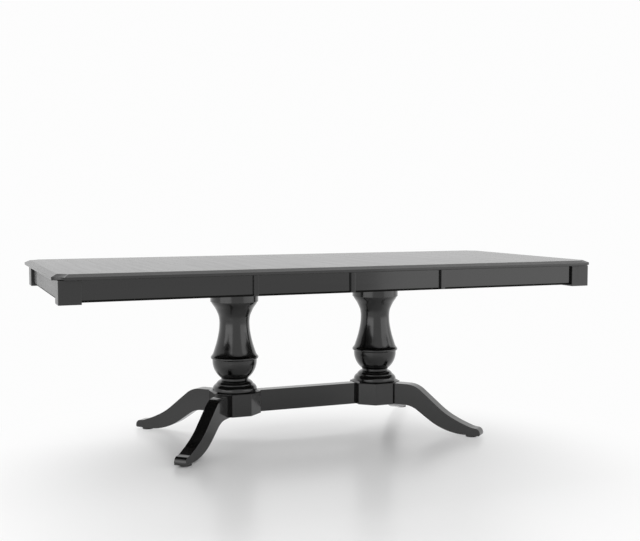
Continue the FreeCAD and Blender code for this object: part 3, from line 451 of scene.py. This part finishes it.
def outward(work):
    """Join doubles and point the faces of a closed shell outwards."""
    bmesh.ops.remove_doubles(work, verts=work.verts, dist=MERGE_DISTANCE)
    bmesh.ops.recalc_face_normals(work, faces=work.faces)


def eased_piece(work, node, ease, material, steps=EASE_STEPS):
    """Round the sharp edges of a work mesh and let it stand for its CAD node."""
    ease_edges(work, ease, steps)
    piece = finish_piece(work, "eased_" + node, node, material)
    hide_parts(node)
    return piece


# Tops, with the lower edge rounded and the bevel starting a little higher

EDGE_HEIGHT = 0.011
BEVEL_LIFT = 0.0007
LOWER_EDGE_ROUND = 0.0035
LOWER_EDGE_STEPS = 4
RIM_BORDER = 0.045


def to_free_side(node, spot, low, high):
    """Distance of a place on a top from the nearest side that no other top touches."""
    sides = [spot.y - low.y, high.y - spot.y]
    if node == "left_top":
        sides.append(spot.x - low.x)
    if node == "right_top":
        sides.append(high.x - spot.x)
    return min(sides)


def lower_rim(work, node):
    """Edges round the underside of a top, along its free sides."""
    low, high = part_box(node)
    rim = []
    for edge in work.edges:
        middle = (edge.verts[0].co + edge.verts[1].co) / 2
        highest = max(vertex.co.z for vertex in edge.verts)
        is_low = highest < low.z + MERGE_DISTANCE
        if is_low and to_free_side(node, middle, low, high) < RIM_BORDER:
            rim.append(edge)
    return rim


def add_top(node, material):
    work = whole_copy(node)
    bevel_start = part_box(node)[0].z + EDGE_HEIGHT
    for vertex in work.verts:
        if abs(vertex.co.z - bevel_start) < MERGE_DISTANCE:
            vertex.co.z += BEVEL_LIFT
    round_edges(work, lower_rim(work, node), LOWER_EDGE_ROUND, LOWER_EDGE_STEPS)
    eased_piece(work, node, TOP_EASE, material)


# Aprons, whose recessed lower strip reaches a little lower and is given a dark finish without gloss as
# painted shade in the recess

STRIP_HEIGHT = 0.0058
STRIP_DROP = 0.002


def add_apron(node, material, shade_strip_material):
    work = whole_copy(node)
    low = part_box(node)[0].z
    for vertex in work.verts:
        if vertex.co.z < low + MERGE_DISTANCE:
            vertex.co.z -= STRIP_DROP
    piece = eased_piece(work, node, APRON_EASE, material)
    piece.data.materials.append(shade_strip_material)
    # The faces of the recessed strip take the dark finish that paints the shade in the recess
    for face in piece.data.polygons:
        if face.center.z < low + STRIP_HEIGHT:
            face.material_index = 1


# Legs, whose upper face dips and so lies nearly level behind the toe

# Pairs of the distance from the tip and the depth of the dip
TOE_DIP = (
    (0.016, 0), (0.025, 0.0019), (0.033, 0.0034), (0.040, 0.0041),
    (0.048, 0.0040), (0.060, 0.0033), (0.110, 0),
)
# Height that only the upper face lies above, wherever it dips
TOE_MIDDLE = 0.025


def toe_dip(away):
    """Depth of the dip at a distance from the tip of the toe."""
    for (near, first), (far, last) in zip(TOE_DIP, TOE_DIP[1:]):
        if near <= away < far:
            return first + (last - first) * (away - near) / (far - near)
    return 0


def add_leg(node, finishes):
    across = -1 if "left" in node else 1
    back = -1 if "front" in node else 1
    outwards = Vector((across * math.cos(LEG_ANGLE), back * math.sin(LEG_ANGLE), 0))
    work = whole_copy(node)
    tip = max(vertex.co.dot(outwards) for vertex in work.verts)
    for away, depth in TOE_DIP[1:-1]:
        geom = work.verts[:] + work.edges[:] + work.faces[:]
        bmesh.ops.bisect_plane(
            work, geom=geom, dist=MERGE_DISTANCE, plane_co=outwards * (tip - away), plane_no=outwards,
        )
    for vertex in work.verts:
        if vertex.co.z > TOE_MIDDLE:
            vertex.co.z -= toe_dip(tip - vertex.co.dot(outwards))
    grain = "rising" if across == back else "falling"
    eased_piece(work, node, LEG_EASE, finishes[grain], LEG_EASE_STEPS)


# Turned pedestals, drawn as profiles of (radius, height) points

BORE = 0.0055
CAPITAL_RADIUS = 0.102
CAPITAL_HEIGHT = 0.062
CAPITAL_LIP = 0.003
NECK_RADIUS = 0.064
BEAD_RADIUS = 0.007
BOWL_RADIUS = 0.0946
BOWL_FOOT = 0.058
BOWL_RIM = 0.007
STEP_RADIUS = 0.092
STEP_HEIGHT = 0.0045
TIER_RADIUS = 0.0945
TIER_RIM = 0.010
TIER_HEIGHT = 0.028
TIER_TOP_RADIUS = 0.080
SECOND_TIER_RADIUS = 0.0785
SECOND_TIER_RIM = 0.003
TIER_SWELL = 0.0025
COLLAR_RADIUS = 0.058
COLLAR_HEIGHT = 0.008

# The waisted shaft from the bead to the capital, as a share of its height and a share of the
# way from the neck's radius to the radius at the capital
SHAFT_SHARES = (
    (0.0, 0.98), (0.014, 0.89), (0.04, 0.80), (0.105, 0.646), (0.256, 0.34), (0.402, 0.129), (0.5, 0.035),
    (0.609, 0.0), (0.69, 0.038), (0.759, 0.143), (0.871, 0.48), (0.953, 0.846), (1.0, 1.0),
)

# Fineness of the round stretches
TURNING_STEPS = 96
BOWL_STEPS = 20
BEAD_STEPS = 14
SHAFT_STEPS = 6
TIER_STEPS = 10


def arc(centre_out, centre_up, radius, start, end, steps):
    """Points on an arc of a profile, from one angle to another in radians."""
    points = []
    for step in range(steps + 1):
        angle = start + (end - start) * step / steps
        points.append((centre_out + radius * math.cos(angle), centre_up + radius * math.sin(angle)))
    return points


def smooth_line(points, steps):
    """Points on a smooth line through the given ones."""
    padded = [points[0]] + list(points) + [points[-1]]
    line = []
    for index in range(1, len(padded) - 2):
        before, start, end, after = [Vector(point) for point in padded[index - 1:index + 3]]
        for step in range(steps):
            t = step / steps
            spot = 0.5 * (
                2 * start
                + (end - before) * t
                + (2 * before - 5 * start + 4 * end - after) * t ** 2
                + (3 * start - before - 3 * end + after) * t ** 3
            )
            line.append((spot.x, spot.y))
    line.append(points[-1])
    return line


def swelling(start, end):
    """Points of a slope that bulges past the straight line between its ends."""
    start = Vector(start)
    run = Vector(end) - start
    bulge = Vector((run.y, -run.x)).normalized() * TIER_SWELL
    points = []
    for step in range(TIER_STEPS + 1):
        share = step / TIER_STEPS
        spot = start + run * share + bulge * 4 * share * (1 - share)
        points.append((spot.x, spot.y))
    return points


def column_profile(low, high):
    """Bowl with its rim and bead, waisted shaft and the disc of the capital."""
    equator = low + math.sqrt(BOWL_RADIUS ** 2 - BOWL_FOOT ** 2)
    bead = equator + BOWL_RIM + BEAD_RADIUS
    shaft_low = bead + BEAD_RADIUS
    shaft_high = high - CAPITAL_HEIGHT
    shaft = []
    for up_share, out_share in SHAFT_SHARES:
        out = NECK_RADIUS + (CAPITAL_RADIUS - CAPITAL_LIP - NECK_RADIUS) * out_share
        shaft.append((out, shaft_low + (shaft_high - shaft_low) * up_share))
    foot_angle = math.atan2(low - equator, BOWL_FOOT)
    points = [(BORE, low)]
    points += arc(0, equator, BOWL_RADIUS, foot_angle, 0, BOWL_STEPS)
    points += arc(BOWL_RADIUS, bead, BEAD_RADIUS, -math.pi / 2, math.pi / 2, BEAD_STEPS)
    points += smooth_line(shaft, SHAFT_STEPS)[1:]
    points += [(CAPITAL_RADIUS, shaft_high), (CAPITAL_RADIUS, high), (BORE, high), (BORE, low)]
    return points


def moulding_profile(low, high):
    """Plain step, two swelling tiers with upright rims, and the collar under the bowl."""
    step_top = low + STEP_HEIGHT
    tier_top = step_top + TIER_HEIGHT
    points = [(BORE, low), (STEP_RADIUS, low), (STEP_RADIUS, step_top), (TIER_RADIUS, step_top)]
    points += swelling((TIER_RADIUS, step_top + TIER_RIM), (TIER_TOP_RADIUS, tier_top))
    points += [(SECOND_TIER_RADIUS, tier_top)]
    collar_foot = (COLLAR_RADIUS, high - COLLAR_HEIGHT)
    points += swelling((SECOND_TIER_RADIUS, tier_top + SECOND_TIER_RIM), collar_foot)
    points += [(COLLAR_RADIUS, high), (BORE, high), (BORE, low)]
    return points


def add_turned(node, profile, material):
    """Turn a profile round the upright axis of its CAD node, and let it stand for the node."""
    low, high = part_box(node)
    work = bmesh.new()
    line = [work.verts.new((out, 0, up)) for out, up in profile(low.z, high.z)]
    for pair in zip(line, line[1:]):
        work.edges.new(pair)
    bmesh.ops.spin(
        work, geom=work.verts[:] + work.edges[:], cent=(0, 0, 0), axis=(0, 0, 1), dvec=(0, 0, 0),
        angle=math.tau, steps=TURNING_STEPS, use_merge=True, use_normal_flip=False, use_duplicate=False,
    )
    outward(work)
    ease_edges(work, TURNED_EASE, EASE_STEPS)
    bmesh.ops.translate(work, verts=work.verts, vec=((low.x + high.x) / 2, 0, 0))
    piece = finish_piece(work, "turned_" + node, node, material)
    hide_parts(node)


# Caps of the eight-sided blocks, which slope in to the foot of the moulding

CAP_HEIGHT = 0.008
CAP_UPRIGHT = 0.0017
CAP_RIM_RADIUS = 0.0949
CAP_STEPS = 10
CAP_EASE = 0.0005


def block_corners(reach):
    """Corners of the eight-sided block, whose slanting faces are square to the legs."""
    along = math.cos(LEG_ANGLE)
    across = math.sin(LEG_ANGLE)
    front_half = reach * math.tan(math.pi / 8)
    leg_face = front_half * along + reach * across
    side_half = (leg_face - reach * along) / across
    right = [Vector((reach, -side_half)), Vector((reach, side_half))]
    back = [Vector((front_half, reach)), Vector((-front_half, reach))]
    return right + back + [-corner for corner in right] + [-corner for corner in back]


def pull_wall(work, edges, height):
    """Pull an upright wall from a closed line of edges, and return the edges of its top."""
    made = bmesh.ops.extrude_edge_only(work, edges=edges)["geom"]
    verts = [item for item in made if isinstance(item, bmesh.types.BMVert)]
    bmesh.ops.translate(work, verts=verts, vec=(0, 0, height))
    return [item for item in made if isinstance(item, bmesh.types.BMEdge)]


def add_block_cap(side, material):
    node = side + "_base_block"
    low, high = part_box(node)
    work = bmesh.new()
    corners = [work.verts.new((*corner, 0)) for corner in block_corners((high.x - low.x) / 2)]
    sides = [work.edges.new(pair) for pair in zip(corners, corners[1:] + corners[:1])]
    bmesh.ops.subdivide_edges(work, edges=sides, cuts=CAP_STEPS - 1)
    outer_foot = work.edges[:]
    outer_top = pull_wall(work, outer_foot, CAP_UPRIGHT)
    ring = bmesh.ops.create_circle(work, cap_ends=False, radius=CAP_RIM_RADIUS, segments=len(outer_foot))
    inner_foot = [edge for edge in work.edges if edge.verts[0] in ring["verts"]]
    inner_top = pull_wall(work, inner_foot, CAP_HEIGHT)
    bmesh.ops.bridge_loops(work, edges=outer_top + inner_top)
    bmesh.ops.bridge_loops(work, edges=outer_foot + inner_foot)
    outward(work)
    ease_edges(work, CAP_EASE, EASE_STEPS)
    bmesh.ops.translate(work, verts=work.verts, vec=((low.x + high.x) / 2, 0, high.z))
    finish_piece(work, side + "_block_cap", node, material)


# The studio and the table

bpy.context.scene.view_settings.view_transform = "Standard"
add_camera()
add_world()
add_floor()
add_light_box("left_light_box", bearing=-61, width=4.6, level=1.3)
add_light_box("right_light_box", bearing=54, width=5.2, level=0.9)
add_ceiling_light(height=3.4, back=3.0, width=5, depth=3, level=2.3)

gloss = {}
for grain in ("x", "z", "rising", "falling"):
    gloss[grain] = black_wood("black_wood_" + grain, grain, 0.10, 0.16, coat=0.25, coat_roughness=0.07)
turned_gloss = black_wood("turned_wood", "z", 0.16, 0.22, coat=0.25, coat_roughness=0.13)
top_satin = black_wood("satin_wood_top", "y", 0.37, 0.45, coat=0.45, coat_roughness=0.07)
end_satin = {}
for grain in ("y", "z"):
    end_satin[grain] = black_wood("satin_wood_" + grain, grain, 0.36, 0.46, coat=0.30, coat_roughness=0.07)
# Dark finish without gloss that paints the shade in the recessed strip under the aprons
shade_strip_finish = painted_shade_strip()
CAD_FINISH = {
    "black_wood": gloss["x"],
    "plain_wood": stained_wood(),
    "steel": zinc_steel(),
    "nylon": nylon(),
}

for cad_piece in NODES.values():
    slot = cad_piece.data.materials[0].name.split(".")[0]
    for place in cad_piece.material_slots:
        place.material = CAD_FINISH[slot]

for node in TOPS:
    add_top(node, top_satin)
for node in NODES:
    if node.endswith("_apron"):
        add_apron(node, end_satin["y"] if "end_apron" in node else gloss["x"], shade_strip_finish)
    if node.endswith("_post"):
        eased_piece(whole_copy(node), node, POST_EASE, end_satin["z"])
    if node.endswith("_batten"):
        eased_piece(whole_copy(node), node, POST_EASE, gloss["z"])
    if node.endswith("_leg"):
        add_leg(node, gloss)
    if node.endswith("_base_block"):
        eased_piece(whole_copy(node), node, BLOCK_EASE, gloss["z"])
eased_piece(whole_copy("stretcher"), "stretcher", STRETCHER_EASE, gloss["x"])
for side in SIDES:
    add_turned(side + "_column", column_profile, turned_gloss)
    add_turned(side + "_base_moulding", moulding_profile, turned_gloss)
for side in SIDES:
    add_block_cap(side, gloss["z"])
